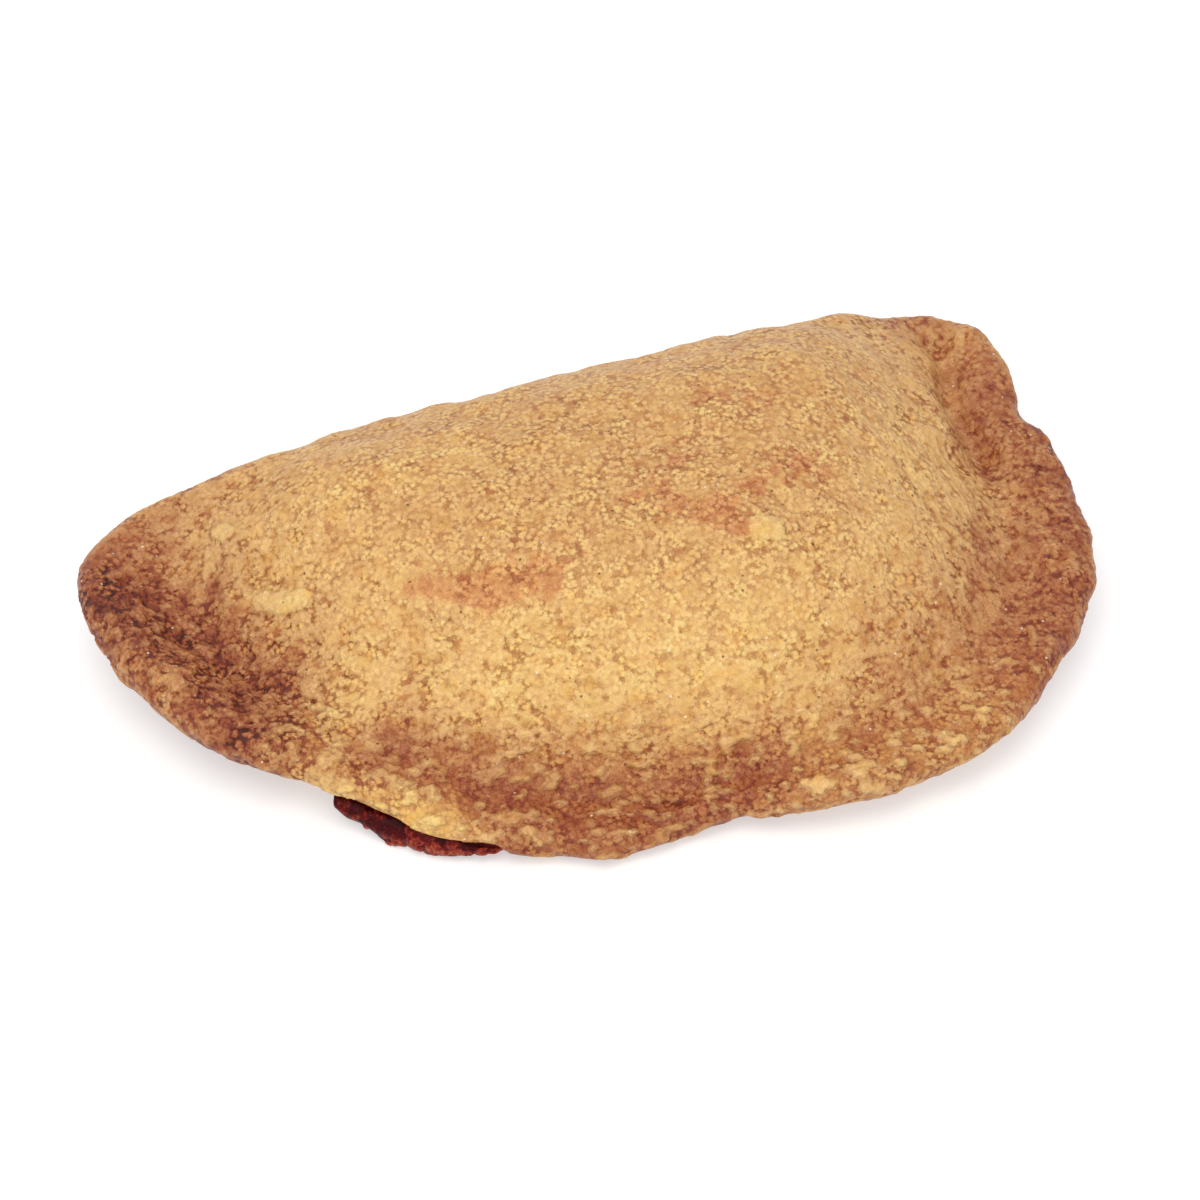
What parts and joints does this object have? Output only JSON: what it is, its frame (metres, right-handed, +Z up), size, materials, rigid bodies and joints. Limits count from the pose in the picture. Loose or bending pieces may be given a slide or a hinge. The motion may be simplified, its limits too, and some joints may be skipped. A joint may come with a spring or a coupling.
{
  "type": "empanada",
  "caption": "Baked half-moon empanada with a domed golden crust, browned pressed rim and dark filling burst out under the front edge.",
  "frame": {"origin": "middle of the object's box, on the surface that it rests on", "axes": "+X along the fold to its blunt end, +Y from the seam to the fold, +Z up"},
  "size_m": [0.1488, 0.0886, 0.0317],
  "materials": {
    "crust": "baked, dry and flaky",
    "filling": "dark, moist and lumpy"
  },
  "bodies": {
    "root": {"pastry": "crust", "filling": "filling"}
  },
  "joints": []
}
